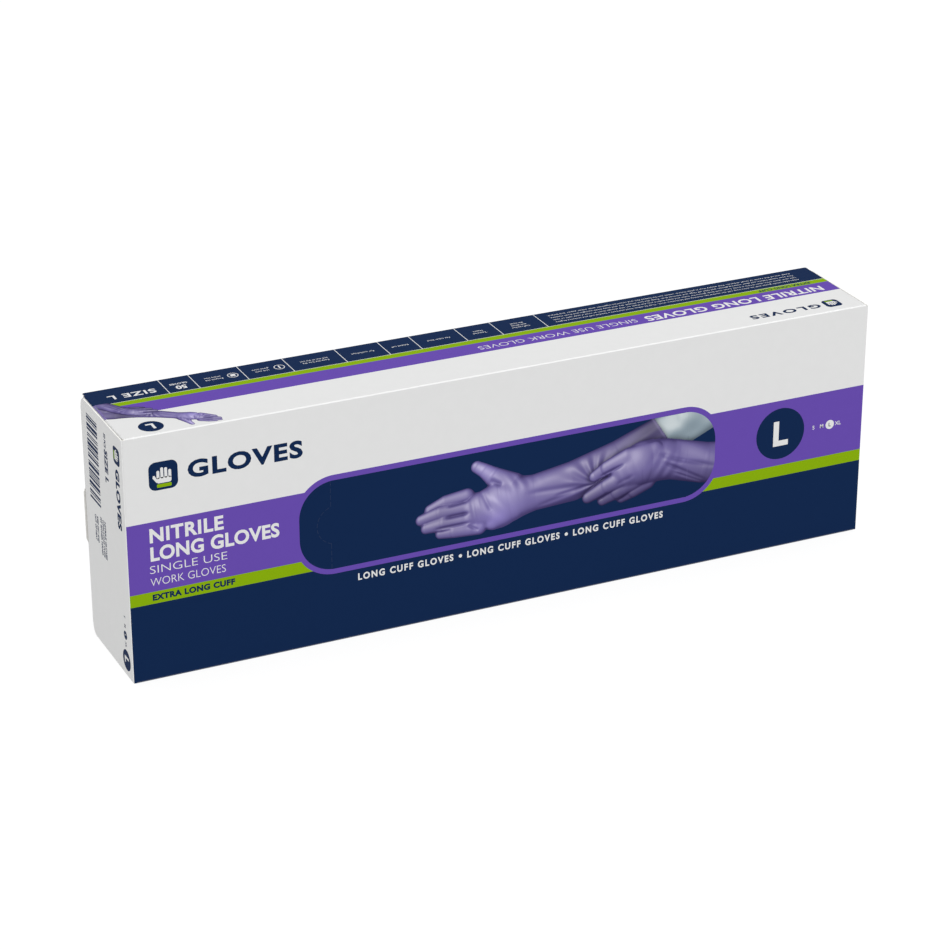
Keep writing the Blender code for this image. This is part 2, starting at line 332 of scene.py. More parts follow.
def make_board(name, outline, place, base, holes=(), fields=(), lines=(), flip=False):
    """A board cut to the outline, printed outside in fields of ink, bare inside and at its cut edges.

    place(a, b, depth) puts a point of the flat board in space, depth below its printed face. The fields
    are (loop, ink) pairs, and a later field covers an earlier one.
    """
    loops = [outline, *holes] + [loop for loop, _ in fields]
    points, triangles = triangulate(loops, lines)
    middles = np.array([points[list(t)].mean(axis=0) for t in triangles])
    kept = inside(outline, middles)
    for hole in holes:
        kept &= ~inside(hole, middles)
    inks = [base] + sorted({ink for _, ink in fields} - {base}) + ["inside", "cut"]
    printed = np.zeros(len(triangles), int)
    for loop, ink in fields:
        printed[inside(loop, middles)] = inks.index(ink)
    triangles = [t for t, keep in zip(triangles, kept) if keep]
    printed = list(printed[kept])

    count = len(points)
    vertices = [place(a, b, 0) for a, b in points] + [place(a, b, BOARD) for a, b in points]
    sides = {(t[i], t[(i + 1) % len(t)]) for t in triangles for i in range(len(t))}
    rims = [(a, b) for a, b in sides if (b, a) not in sides]
    faces = list(triangles)
    faces += [tuple(i + count for i in reversed(t)) for t in triangles]
    faces += [(b, a, a + count, b + count) for a, b in sorted(rims)]
    indices = printed + [inks.index("inside")] * len(triangles) + [inks.index("cut")] * len(rims)
    if flip:
        faces = [tuple(reversed(f)) for f in faces]
    return link_mesh(name, vertices, faces, inks, indices)


class Path:
    """A board's outer face in cross-section: flat runs and clockwise folds, the outside on the left."""

    def __init__(self, start, heading, runs):
        """Each run is a flat stretch or a fold, as ("flat", mm) or ("fold", degrees)."""
        self.pieces = []
        self.marks = [0.0]
        position, heading = Vector(start), Vector(heading).normalized()
        for kind, amount in runs:
            length = amount if kind == "flat" else math.radians(amount) * FOLD
            self.pieces.append((kind, self.marks[-1], length, position.copy(), heading.copy()))
            end, normal = self.step(self.pieces[-1], length)
            position, heading = end, Vector((normal.y, -normal.x))
            self.marks.append(self.marks[-1] + length)

    def step(self, piece, distance):
        kind, _, _, start, heading = piece
        normal = Vector((-heading.y, heading.x))
        if kind == "flat":
            return start + heading * distance, normal
        centre = start - normal * FOLD
        turned = Matrix.Rotation(-distance / FOLD, 2) @ normal
        return centre + turned * FOLD, turned

    def at(self, distance):
        """The outer face's point and its outward direction at a distance along the path."""
        for piece in self.pieces:
            if distance <= piece[1] + piece[2] + 1e-6:
                break
        return self.step(piece, distance - piece[1])

    def creases(self, low, high):
        """Lines across the board at every start, end and step of a fold."""
        lines = []
        for kind, start, length, _, _ in self.pieces:
            if kind == "fold":
                lines += [start + length * i / FOLD_STEPS for i in range(FOLD_STEPS + 1)]
        return [[(low, s), (high, s)] for s in lines]


def long_panel_edge(across, roots, rear_end):
    """The end of the top panel or the base, from front to rear, set back for its dust flap."""
    rear, front = roots
    steps = [
        (CORNER_REACH, END_FOLD_Y),
        (CORNER_REACH, front),
        (LONG_REACH, front),
        (LONG_REACH, rear),
        (REAR_REACH, rear),
        (REAR_REACH, rear_end - REAR_NOTCH),
        (REAR_REACH - REAR_NOTCH, rear_end),
    ]
    return [(x, across(y)) for x, y in steps]


def build_tube():
    """Glue flap, base, front, top and back: one board, creased four times, with the window cut out."""
    flat_depth = DEPTH - 2 * FOLD
    runs = [
        ("flat", GLUE_WIDTH), ("fold", 90),
        ("flat", TUCK_FOLD_Y - END_FOLD_Y), ("fold", 90),
        ("flat", HEIGHT - 2 * FOLD), ("fold", 90),
        ("flat", flat_depth), ("fold", 90),
        ("flat", HEIGHT - FOLD - BACK_CUT),
    ]
    path = Path((HALF_DEPTH - FOLD, FOLD + GLUE_WIDTH), (0, -1), runs)
    m = path.marks
    rear, front_end = DUST_ROOT[1] + 0.1, DUST_ROOT[0] - 0.1
    right = [(GLUE_TIP_REACH, 0), (GLUE_REACH, m[1]), (GLUE_REACH, m[2])]
    right += long_panel_edge(lambda y: m[2] + TUCK_FOLD_Y - y, (rear, front_end), TUCK_FOLD_Y)[::-1]
    right += [(FRONT_REACH, m[3]), (FRONT_REACH, m[6])]
    right += long_panel_edge(lambda y: m[6] + y - END_FOLD_Y, (rear, front_end), -END_FOLD_Y)
    right += [(BACK_FOLD_REACH, m[8])]
    radius = FLAP_CORNER
    for centre, start in ((m[8] + radius, 180), (m[9] - radius, 90)):
        right += [(x, s) for s, x in arc((centre, BACK_REACH - radius), radius, start, start - 90, 8)]
    outline = right + [(-x, s) for x, s in reversed(right)]

    def front(loop):
        return [(x, m[4] + z - FOLD) for x, z in loop]

    def top(loop):
        return [(x, m[6] + y - END_FOLD_Y) for x, y in loop]

    def back(loop):
        return [(x, m[8] + HEIGHT - FOLD - z) for x, z in loop]

    far = LENGTH
    seam = (WINDOW[1], WINDOW[1] + SEAM_REACH)
    front_fold = (m[5] + FOLD_PLAIN_SHARE * (m[6] - m[5]), m[6])
    fields = [
        (rectangle(-far, far, 0, m[1]), "white"),
        # Folds at the base: paler navy, partly cracked ink and partly a painted highlight
        (rectangle(-far, far, m[1], m[2]), "navy_fold"),
        (rectangle(-far, far, m[2], m[3]), "navy"),
        (rectangle(-far, far, m[3], m[4]), "navy_fold"),
        *((front(rectangle(-far, far, max(low, FOLD), high)), ink) for low, high, ink in BANDS),
        (front(rounded(*OVAL_BORDER, OVAL_BORDER_RADIUS)), "purple"),
        (front(rounded(*OVAL_INSIDE, OVAL_INSIDE_RADIUS)), "navy"),
        (front(disc(*SIZE_DISC)), "navy"),
        *((front(rectangle(*seam, low, high)), ink) for low, high, ink in SEAM_INKS),
        # The front's upper fold: paler white, partly worn coating and partly a painted highlight
        (rectangle(-far, far, *front_fold), "white_fold"),
        (top(rectangle(-far, far, *PURPLE_REACH)), "purple"),
        (top(rectangle(-far, far, PURPLE_REACH[1], GREEN_REACH)), "green"),
        (top(rectangle(-far, far, GREEN_REACH + TOP_LINE, -END_FOLD_Y)), "top_navy"),
        (top(disc(*TOP_SIZE_DISC)), "navy"),
        # The fold from the top to the back: paler navy, partly cracked ink and partly a painted
        # highlight
        (rectangle(-far, far, m[7], m[8]), "navy_fold"),
        *((back(rectangle(-far, far, low, high)), ink) for low, high, ink in BANDS),
        (back(disc(-SIZE_DISC[0], *SIZE_DISC[1:])), "navy"),
    ]

    def place(x, distance, depth):
        point, normal = path.at(distance)
        point = point - normal * depth
        return (x, point.x, point.y)

    window = front(rectangle(*WINDOW) + thumb_curve())
    tube = make_board("carton_blank", outline, place, "white", [window], fields, path.creases(-far, far))
    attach(tube, "carton")
    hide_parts("front_panel", "top_panel", "back_panel", "bottom_panel", "glue_flap")


def thumb_curve(inset=0.0):
    """The thumb notch from its top end round to its bottom end, inset from the cut."""
    radius = (THUMB_HALF_CHORD**2 + THUMB_BULGE**2) / (2 * THUMB_BULGE)
    centre = (WINDOW[0] + radius - THUMB_BULGE, WINDOW_Z)
    radius -= inset
    half = math.degrees(math.acos((centre[0] - WINDOW[0]) / radius))
    return arc(centre, radius, 180 - half, 180 + half, 24)


def upright(x, z, depth):
    return (x, -HALF_DEPTH + depth, z)


def build_window_boards():
    """The tear panel, and the thumb tab between it and the notch."""
    seam = (WINDOW[1] - SEAM_REACH, WINDOW[1])
    fields = [(rectangle(*seam, low, high), ink) for low, high, ink in SEAM_INKS]
    panel = make_board("tear_panel_board", rectangle(*WINDOW), upright, "navy", fields=fields)
    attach(panel, "tear_panel")
    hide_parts("tear_panel")

    def bevelled(x, z, depth):
        """Leans the tab's hinge edge back, so that it clears the panel when it swings in."""
        hinge = x > WINDOW[0] - 0.01
        return upright(x - TAB_BEVEL * depth * hinge, z, depth)

    tab = make_board("thumb_tab_board", thumb_curve(), bevelled, "navy")
    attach(tab, "thumb_tab")
    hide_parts("thumb_tab")


# Each end's side, the way it faces, and whether its boards need turning over
ENDS = (("left", -1, False), ("right", 1, True))


def build_end_flap(side, sign, flip):
    low, high = END_CUT, HEIGHT - END_CUT
    front, rear = END_FOLD_Y + CREASE_FLAT, TUCK_FOLD_Y - INNER_FOLD
    outline = [(high, front), (low, front)]
    for centre, start in ((low + FLAP_CORNER, 180), (high - FLAP_CORNER, 90)):
        outline += arc((centre, rear - FLAP_CORNER), FLAP_CORNER, start, start - 90, 10)

    def place(z, y, depth):
        return (sign * (HALF_LENGTH - depth), y, z)

    flap = make_board(f"{side}_end_flap_board", outline[::-1], place, "white", flip=flip)
    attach(flap, f"{side}_end_flap")
    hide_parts(f"{side}_end_flap")


def build_crease(name, path, low, high, basis, fields=(), wear_and_highlight=TUCK_WEAR_HIGHLIGHT):
    """A folded strip of white board, painted paler over a share of its fold: partly wear, partly a
    painted highlight.

    The basis is the space directions of the path's two axes and of the run along the fold.
    """
    across, up, along = (Vector(b) for b in basis)

    def place(run, distance, depth):
        point, normal = path.at(distance)
        point = point - normal * depth
        return tuple(across * point.x + up * point.y + along * run)

    outline = rectangle(low, high, 0, path.marks[-1])
    fold = next(piece for piece in path.pieces if piece[0] == "fold")
    # the share of the fold painted paler white: partly wear, partly a painted highlight
    wear_highlight_span = (fold[1] + fold[2] * share for share in wear_and_highlight)
    fields = [*fields, (rectangle(low - 1, high + 1, *wear_highlight_span), "white_fold")]
    lines = path.creases(low, high)
    turned_over = Matrix(basis).determinant() < 0
    strip = make_board(name, outline, place, "white", fields=fields, lines=lines, flip=turned_over)
    first, last = (path.at(fold[1] + share * fold[2])[0] for share in (0, 1))
    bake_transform(strip)


def build_upright_creases(side, sign):
    """The folds at an end flap's front and rear edges."""
    basis = ((-sign, 0, 0), (0, 1, 0), (0, 0, 1))
    runs = [("flat", CREASE_FLAT), ("fold", 90), ("flat", CREASE_FLAT)]
    path = Path((-END_FOLD_X + CREASE_FLAT, -HALF_DEPTH), (-1, 0), runs)
    printed = path.marks[1] + UPRIGHT_PRINT
    fields = [(rectangle(low, high, -1, printed), ink) for low, high, ink in BANDS]
    name = f"{side}_end_crease"
    build_crease(name, path, END_CUT, HEIGHT - END_CUT, basis, fields, UPRIGHT_WEAR_HIGHLIGHT)

    runs = [("flat", INNER_FOLD), ("fold", 90 + math.degrees(TUCK_LEAN)), ("flat", CREASE_FLAT)]
    path = Path((-HALF_LENGTH, TUCK_FOLD_Y - INNER_FOLD), (0, 1), runs)
    for part, low, high in (("lower", TUCK_ROOT[0], LIP[0]), ("upper", LIP[1], TUCK_ROOT[1])):
        build_crease(f"{side}_tuck_crease_{part}", path, low, high, basis)


def build_tuck_flap(side, sign, flip):
    root_low, root_high = ((z, CREASE_FLAT) for z in TUCK_ROOT)
    tip_low, tip_high = ((z, TUCK_LENGTH) for z in TUCK_TIP)
    lip = [(LIP[0] + inset, past) for inset, past in LIP_CORNERS]
    lip += [(LIP[1] - inset, past) for inset, past in reversed(LIP_CORNERS)]
    outline = [root_low, *lip, root_high, tip_high, tip_low]
    inward = Vector((math.cos(TUCK_LEAN), -math.sin(TUCK_LEAN)))
    outward = Vector((math.sin(TUCK_LEAN), math.cos(TUCK_LEAN)))

    def place(z, distance, depth):
        point = Vector((-END_FOLD_X, TUCK_FOLD_Y)) + inward * distance + outward * (FOLD - depth)
        return (-sign * point.x, point.y, z)

    flap = make_board(f"{side}_tuck_flap_board", outline, place, "white", flip=flip)
    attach(flap, f"{side}_tuck_flap")
    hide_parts(f"{side}_tuck_flap")


TOP_BANDS = [
    (*PURPLE_REACH, "purple"),
    (PURPLE_REACH[1], GREEN_REACH, "green"),
    (GREEN_REACH + TOP_LINE, HALF_DEPTH, "top_navy"),
]
PICTURE_END = (-5.0, 13.4)  # where the top's picture runs over the left edge
DUST_INKS = {
    "left_top": TOP_BANDS + [(*PICTURE_END, "lilac")],
    "right_top": TOP_BANDS,
    "left_bottom": [(-HALF_DEPTH, HALF_DEPTH, "navy")],
    "right_bottom": [(-HALF_DEPTH, HALF_DEPTH, "navy")],
}


def build_dust_flaps(side, sign):
    """The inner end boards, and the folds that join them to the top panel and the base."""
    front, rear = DUST_ROOT
    front_tip = front + DUST_LENGTH * math.tan(DUST_TAPERS[0])
    rear_tip = rear - DUST_LENGTH * math.tan(DUST_TAPERS[1])
    slant, lean = (math.degrees(t) for t in DUST_TAPERS)
    radius = FLAP_CORNER
    front_centre = (front_tip + radius * math.tan(math.radians(45 - slant / 2)), DUST_LENGTH - radius)
    rear_centre = (rear_tip - radius * math.tan(math.radians(45 - lean / 2)), DUST_LENGTH - radius)
    outline = [(front, INNER_FOLD), (rear, INNER_FOLD)]
    outline += arc(rear_centre, radius, lean, 90, 8) + arc(front_centre, radius, 90, 180 - slant, 8)
    for level, height, up in (("top", HEIGHT - FOLD, 1), ("bottom", FOLD, -1)):

        def place(y, distance, depth):
            return (sign * (DUST_FOLD_X + FOLD - depth), y, height - up * distance)

        flip = sign * up > 0
        flap = make_board(f"{side}_{level}_dust_flap_board", outline, place, "white", flip=flip)
        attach(flap, f"{side}_{level}_dust_flap")
        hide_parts(f"{side}_{level}_dust_flap")
        basis = ((sign, 0, 0), (0, 0, up), (0, 1, 0))
        runs = [("flat", INNER_FOLD), ("fold", 90), ("flat", INNER_FOLD)]
        path = Path((DUST_FOLD_X - INNER_FOLD, max(up, 0) * HEIGHT), (1, 0), runs)
        printed = path.marks[1] + DUST_PRINT
        inks = DUST_INKS[f"{side}_{level}"]
        fields = [(rectangle(low, high, -1, printed), ink) for low, high, ink in inks]
        name = f"{side}_{level}_dust_crease"
        build_crease(name, path, front, rear, basis, fields, DUST_WEAR_HIGHLIGHT)


# ---- print


class Layout:
    """A printed face: its origin, the directions that text runs and stands in, and its body."""

    def __init__(self, name, body, origin, right, up, slot="printed_board"):
        self.name, self.body, self.slot = name, body, slot
        self.origin, self.right, self.up = Vector(origin), Vector(right), Vector(up)
        self.inks = {}

    def at(self, a, b, level):
        return self.origin + self.right * a + self.up * b + self.right.cross(self.up) * level

    def put(self, ink, vertices, faces):
        """Adds a closed shape whose points are (a, b, level)."""
        points, polygons = self.inks.setdefault(ink, ([], []))
        start = len(points)
        points += [self.at(*v) for v in vertices]
        polygons += [tuple(i + start for i in f) for f in faces]

    def shape(self, ink, loop, level=0.0):
        """A flat printed shape with a given outline, anticlockwise."""
        count = len(loop)
        vertices = [(a, b, level - INK) for a, b in loop] + [(a, b, level + INK) for a, b in loop]
        faces = [tuple(reversed(range(count))), tuple(range(count, 2 * count))]
        faces += [(i, (i + 1) % count, (i + 1) % count + count, i + count) for i in range(count)]
        self.put(ink, vertices, faces)

    def text(self, ink, words, a, b, cap, width=None, weight=0.0, align="left", level=0.0, spacing=1.0):
        """Words with their baseline at b and their capitals cap high, drawn out to the width."""
        curve = bpy.data.curves.new("words", "FONT")
        curve.body, curve.size, curve.offset, curve.extrude = words, cap / CAP_SHARE, weight * cap, INK
        curve.resolution_u, curve.space_character = (4 if cap > 2 else 2), spacing
        holder = add_object("words", curve)
        graph = bpy.context.evaluated_depsgraph_get()
        mesh = bpy.data.meshes.new_from_object(holder.evaluated_get(graph))
        xs = [v.co.x for v in mesh.vertices]
        low, wide = min(xs), max(xs) - min(xs)
        stretch = width / wide if width else 1.0
        start = a - {"left": 0, "centre": wide * stretch / 2}[align]
        points = [(start + (v.co.x - low) * stretch, v.co.y + b, v.co.z + level) for v in mesh.vertices]
        self.put(ink, points, [tuple(p.vertices) for p in mesh.polygons])
        bpy.data.objects.remove(holder)

    def lines(self, ink, rows, a, b, pitch, cap, width=None, align="left", weight=0.0):
        """Small print, one line below another, each drawn out to the width if there is one."""
        for index, words in enumerate(rows):
            self.text(ink, words, a, b - pitch * index, cap, width, weight, align)

    def finish(self):
        for ink, (points, polygons) in self.inks.items():
            made = link_mesh(f"{self.name}_{ink}_print", points, polygons, [ink])
            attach(made, self.body)


CAP_SHARE = 0.68  # height of the built-in font's capitals, as a share of its size
# Each face's origin, and the directions that its text runs and stands in
FRONT_FACE = ((0, -HALF_DEPTH, 0), (1, 0, 0), (0, 0, 1))
TOP_FACE = ((0, 0, HEIGHT), (-1, 0, 0), (0, -1, 0))
BACK_FACE = ((0, HALF_DEPTH, 0), (-1, 0, 0), (0, 0, 1))


def stamp_mark(layout, a, b, size, dark, light, accent):
    """The maker's generic mark: an upright hand in a rounded square."""
    half = size / 2
    layout.shape(dark, rounded(a - half, a + half, b - half, b + half, size * 0.24, 8))
    unit = size / 10
    fingers = [(-2.3, 1.9), (-0.95, 2.9), (0.4, 2.7), (1.75, 1.8)]
    for x, top in fingers:
        bar = rounded(a + x * unit, a + (x + 1.0) * unit, b - 1.0 * unit, b + top * unit, 0.45 * unit, 5)
        layout.shape(light, bar, INK)
    left, right = a - 2.3 * unit, a + 2.75 * unit
    palm = rounded(left, right, b - 2.6 * unit, b - 0.55 * unit, 0.7 * unit, 5)
    layout.shape(light, palm, INK)
    cuff = rounded(left, right, b - 4.1 * unit, b - 2.9 * unit, 0.3 * unit, 4)
    layout.shape(accent, cuff, INK)
    thumb = [(-2.3, -1.0), (-2.3, -2.4), (-3.7, -0.5), (-3.55, 0.3), (-3.0, 0.35)]
    layout.shape(light, [(a + x * unit, b + y * unit) for x, y in thumb], INK)


def stamp_sizes(layout, a, b, cap, pitch, ink, ring, letter):
    """The small row of sizes with the chosen one in a ring."""
    for index, size in enumerate(("S", "M", "L", "XL")):
        x = a + pitch * index
        chosen = size == "L"
        if chosen:
            layout.shape(ring, disc(x, b + cap / 2, cap * 1.25, 32))
        colour = letter if chosen else ink
        layout.text(colour, size, x, b, cap, align="centre", weight=0.02, level=INK * chosen)


def print_headings(layout):
    """The words and sizes that the front and the back share."""
    stamp_mark(layout, -189.6, 110.7, 15.0, "navy", "white", "green")
    layout.text("navy", "GLOVES", -177, 106.9, 8.4, 60.5, 0.055, spacing=1.14)
    layout.text("white", "NITRILE", -198.1, 75.9, 7.0, 38.6, 0.05, spacing=1.1)
    layout.text("white", "LONG GLOVES", -198.1, 65.9, 7.0, 68.0, 0.05, spacing=1.04)
    layout.text("white", "SINGLE USE", -198.7, 58.9, 4.2, 40.5, -0.018)
    layout.text("white", "WORK GLOVES", -198.7, 52.1, 4.2, 39.5, -0.018)
    layout.text("navy", "EXTRA LONG CUFF", -198, 44.3, 2.9, 43.5, 0.075, spacing=1.1)
    layout.text("white", "L", 158.9, 61.1, 13.0, weight=0.055, align="centre")
    stamp_sizes(layout, 179.2, 66.1, 2.1, 5.1, "white", "white", "navy")


def print_front(layout):
    print_headings(layout)
    for start, end in ((-88, -34.6), (-26.7, 26.7), (34.6, 88)):
        layout.text("white", "LONG CUFF GLOVES", start, 32.3, 3.45, end - start, 0.05, spacing=1.3)
    for x in (-30.6, 30.6):
        layout.shape("white", disc(x, 34.0, 0.95, 24))


RING_WIDTH = 0.45


def stamp_ring(layout, a, b, radius):
    layout.shape("white", disc(a, b, radius, 36))
    layout.shape("navy", disc(a, b, radius - RING_WIDTH, 36), INK / 2)


DIVIDER_HALF = 0.2
TOP_EDGE = 31.0  # where print that runs to the top's folds stops
TOP_DIVIDERS = (-41.3, -15.3, 5.1, 31.1, 48.9, 72.9, 101.9, 126.6, 152.8, 168.9)
TOP_CELLS = (
    (-28.3, ("Cuff reaches", "well above", "the wrist")),
    (-5.1, ("Textured", "fingers")),
    (18.1, ("Fits either hand",)),
    (40.0, ("Beaded cuff",)),
    (60.9, ("For workshops",)),
    (87.4, ("Keep the box dry", "and out of the sun")),
    (116.8, ("Use each", "glove once")),
    (142.6, ("Recycle the", "empty box")),
)
TOP_SMALL_PRINT = (
    "Disposable nitrile gloves with an extra long cuff, for workshop, cleaning and laboratory work."
    " They fit either hand and have a beaded cuff and textured fingers.",
    "Use each glove once, then throw it away. Look over both gloves for holes and tears before you"
    " put them on, and change them at once if they split or leak.",
    "Dry your hands before and after wearing gloves, and take off rings and watches first. Keep the box"
    " closed, dry and away from sunlight and from heaters.",
    "Keep out of the reach of small children. The empty box is plain board, which can be folded flat and"
    " recycled together with other paper and board.",
)


def print_top(layout):
    """Read from behind: a runs towards -X and b towards the front."""
    stamp_mark(layout, -193.3, 21.6, 9.4, "navy", "white", "green")
    layout.text("navy", "GLOVES", -186, 19.6, 4.6, 42.6, 0.055, spacing=1.3)
    layout.text("white", "NITRILE LONG GLOVES", -200.5, -3.4, 6.0, 108, 0.035, spacing=1.06)
    layout.text("white", "SINGLE USE WORK GLOVES", -87.3, -3.0, 4.4, 92, -0.018)
    layout.text("navy", "EXTRA LONG CUFF", -198.5, -11.2, 2.3, 32, 0.04)
    layout.text("white", "L", 191.4, 19.2, 5.6, weight=0.055, align="centre")
    for x in TOP_DIVIDERS:
        layout.shape("white", rectangle(x - DIVIDER_HALF, x + DIVIDER_HALF, -TOP_EDGE, -GREEN_REACH))
    layout.text("white", "SIZE L", 174.0, -21.8, 4.6, 25, 0.03, spacing=1.1)
    layout.text("white", "50", 160.9, -20.0, 3.9, weight=0.05, align="centre")
    layout.text("white", "GLOVES", 160.9, -23.6, 1.7, 9.4, 0.03, align="centre")
    for x, rows in TOP_CELLS:
        layout.lines("white", rows, x, -21.9 + 1.3 * (len(rows) - 1), 2.7, 1.4, align="centre")
    stamp_ring(layout, 107.0, -21.3, 2.9)
    layout.text("white", "1", 107.0, -23.0, 3.4, weight=0.04, align="centre", level=INK)
    stamp_ring(layout, 132.2, -21.3, 2.9)
    layout.shape("white", rectangle(130.9, 133.5, -22.6, -20.0), INK)
    layout.lines("white", TOP_SMALL_PRINT, -195.5, -17.2, 3.2, 1.15, 148)


TO_OPEN = (
    "Push in the thumb tab on the",
    "front, pull the panel away and",
    "take the gloves one by one.",
)
TO_USE = ("The gloves fit either hand.", "Use each glove once, then", "throw it away.")
TO_STORE = (
    "Keep the box closed and dry,",
    "out of direct sunlight. Recycle",
    "the board when it is empty.",
)
BACK_COLUMNS = ((-84, "TO OPEN", TO_OPEN), (-16, "TO USE", TO_USE), (52, "TO STORE", TO_STORE))
END_WORDS = ("NITRILE GLOVES", "WITH LONG CUFFS", "FIT EITHER HAND")


def print_back(layout):
    """The front's headings, and directions in place of the window: a runs towards -X."""
    print_headings(layout)
    for a, heading, rows in BACK_COLUMNS:
        layout.text("white", heading, a, 77.6, 2.9, weight=0.04, spacing=1.1)
        layout.lines("white", rows, a, 70.8, 5.4, 2.2)


def print_end(layout):
    """a runs down the end, from minus the carton's height, and b from its middle towards the front."""
    stamp_mark(layout, -121.0, 23.0, 9.2, "navy", "white", "green")
    layout.text("navy", "GLOVES", -113.8, 20.6, 5.0, 32.3, 0.08, spacing=1.14)
    layout.text("navy", "50 PCS", -126.2, 4.6, 2.4, 7.6, 0.05)
    layout.text("navy", "SIZE L", -117.6, 4.4, 4.3, 18.0, 0.07, spacing=1.1)
    stamp_bars(layout, -126.6, -80.4, -22.0, -5.8)
    layout.lines("navy", ("KEEP DRY AND", "OUT OF HEAT"), -73.6, -13.4, 3.2, 1.9, 14.5, weight=0.05)
    layout.lines("navy", END_WORDS, -75.4, -1.8, 3.1, 1.9, 21, weight=0.05)
    stamp_sizes(layout, -33.6, 21.6, 1.9, 5.2, "navy", "navy", "white")
    layout.shape("navy", disc(-9.2, 22.6, 5.7))
    layout.text("white", "L", -9.2, 19.9, 5.4, weight=0.055, align="centre", level=INK)


BAR_MODULE = 0.6
BAR_WIDTHS = (1, 2, 1, 3, 2, 1, 1, 2, 3, 1, 2)
BAR_GAPS = (1, 1, 2, 1, 3, 1, 2, 1)


def stamp_bars(layout, start, end, low, high):
    """Bars of mixed widths that spell nothing: two lists of widths whose repeats never line up."""
    a, index = start, 0
    while a < end:
        wide = BAR_WIDTHS[index % len(BAR_WIDTHS)] * BAR_MODULE
        layout.shape("navy", rectangle(a, a + wide, low, high))
        a += wide + BAR_GAPS[index % len(BAR_GAPS)] * BAR_MODULE
        index += 1


def build_print():
    faces = [
        ("front", "carton", FRONT_FACE, print_front),
        ("top", "carton", TOP_FACE, print_top),
        ("back", "carton", BACK_FACE, print_back),
    ]
    for side, sign, _ in ENDS:
        face = (sign * HALF_LENGTH, 0, 0), (0, 0, -1), (0, sign, 0)
        faces.append((f"{side}_end", f"{side}_end_flap", face, print_end))
    for name, body, face, stamp in faces:
        layout = Layout(name, body, *face)
        stamp(layout)
        layout.finish()


SLIT_GAP, SLIT_WIDTH, SLIT_DASH, SLIT_TIE = 0.06, 0.34, 2.6, 1.1
SLIT_START = 0.4


def build_perforations():
    """The cut dashes that free the tear panel on its left side, and round the thumb tab."""
    left, _, low, high = WINDOW
    sheet = Layout("perforation", "carton", *FRONT_FACE)
    for start, end in ((low, WINDOW_Z - THUMB_HALF_CHORD), (WINDOW_Z + THUMB_HALF_CHORD, high)):
        z = start + SLIT_START
        while z + SLIT_DASH < end:
            slit = rectangle(left - SLIT_GAP - SLIT_WIDTH, left - SLIT_GAP, z, z + SLIT_DASH)
            sheet.shape("slit", slit)
            z += SLIT_DASH + SLIT_TIE
    curve = thumb_curve(-SLIT_GAP)
    outer = thumb_curve(-SLIT_GAP - SLIT_WIDTH)
    for i in range(1, len(curve) - 2, 3):
        loop = [outer[i], outer[i + 1], outer[i + 2], curve[i + 2], curve[i + 1], curve[i]]
        sheet.shape("slit", loop)
    sheet.finish()


# ---- the printed picture


# Each limb is a chain of (x, z, radius, height above the print) in the front panel's millimetres.
ARM = {
    "index": [(-27, 67, 4.6, 5), (-39, 66, 4.1, 5), (-47.6, 63.4, 3.1, 4)],
    "middle": [(-27, 60.4, 4.8, 7), (-42, 60.4, 4.2, 7), (-52.6, 58.6, 3.1, 5)],
    "ring": [(-26, 53.8, 4.7, 8), (-40, 54.2, 4.1, 8), (-49.8, 53.4, 3.0, 6)],
    "little": [(-20, 48.4, 4.4, 8), (-34, 48.7, 3.7, 8), (-41.8, 48.8, 2.8, 6)],
    "thumb": [(-2, 68, 8.0, 6), (-12, 75.6, 5.2, 6), (-17, 79.8, 3.9, 6), (-21.2, 82.6, 3.3, 5)],
    "palm": [(-19, 58.2, 10.2, 6), (-8, 59.0, 13.4, 5), (3, 61.2, 11.2, 5)],
    "heel": [(-12, 50.6, 5.4, 8), (0, 54.8, 6.0, 7)],
    "forearm": [
        (-2, 60.5, 11.6, 5),
        (12, 61.8, 10.4, 5),
        (34, 64.0, 11.6, 5),
        (60, 70.6, 11.8, 4),
        (90, 85.0, 8.6, 3),
    ],
}
HELPER = {
    "forearm": [(128, 57.4, 11.6, 10), (112, 59.6, 11.6, 12), (94, 64.8, 11.4, 14), (82, 67, 11.2, 15)],
    "hand": [(88, 66.0, 11.6, 15), (75, 66.4, 12.6, 17), (66, 64.4, 10.4, 17)],
    "thumb": [(82, 72.0, 5.6, 20), (66, 71.6, 5.0, 21), (54, 67.6, 4.2, 20), (46.6, 64.0, 3.1, 17)],
    "index": [(68, 62.0, 5.4, 19), (54, 57.0, 4.4, 19), (43.0, 52.6, 3.3, 16)],
    "middle": [(72, 58.0, 5.2, 17), (60, 52.6, 4.2, 17), (51.8, 49.4, 3.1, 14)],
    "ring": [(78, 55.4, 5.0, 15), (70, 51.4, 4.0, 15), (63.0, 48.8, 3.1, 12)],
}
SLEEVE = {"cuff": [(84, 83.0, 8.6, 2), (100, 85.6, 12.8, 1), (117, 93.4, 13.2, 0)]}
LONG_GLOVE = {
    "upper": [(70, 74.0, 11.0, 4), (92, 84.0, 13.5, 4), (118, 92.0, 17.0, 3), (150, 100.0, 20.0, 3)],
    "lower": [(84, 74.0, 9.0, 3), (110, 76.0, 14.0, 3), (150, 78.0, 18.0, 3)],
}
GRIP = (48.0, 60.0)
ARM_LIGHT = (  # patches on the arm as (x, z, reach along x, reach along z, gain)
    (-6, 60, 11, 8, 0.20),
    (-8, 50, 13, 6, 0.45),
    (-16, 79, 8, 6, 0.30),
    (-42, 57, 15, 12, -0.22),
    (80, 84, 13, 11, -0.26),
)
CUFF_LINE = (86.2, 83.3, 0.836, 0.549)  # a point on the glove's end, and the direction past it
PICTURE_STEP, TOP_PICTURE_STEP = 0.42, 0.2
PICTURE_LEFT, PICTURE_RIGHT = -58, 119.6
SPLIT_GAP = 0.05
TOP_PICTURE = (154, 208, -14, TOP_EDGE)
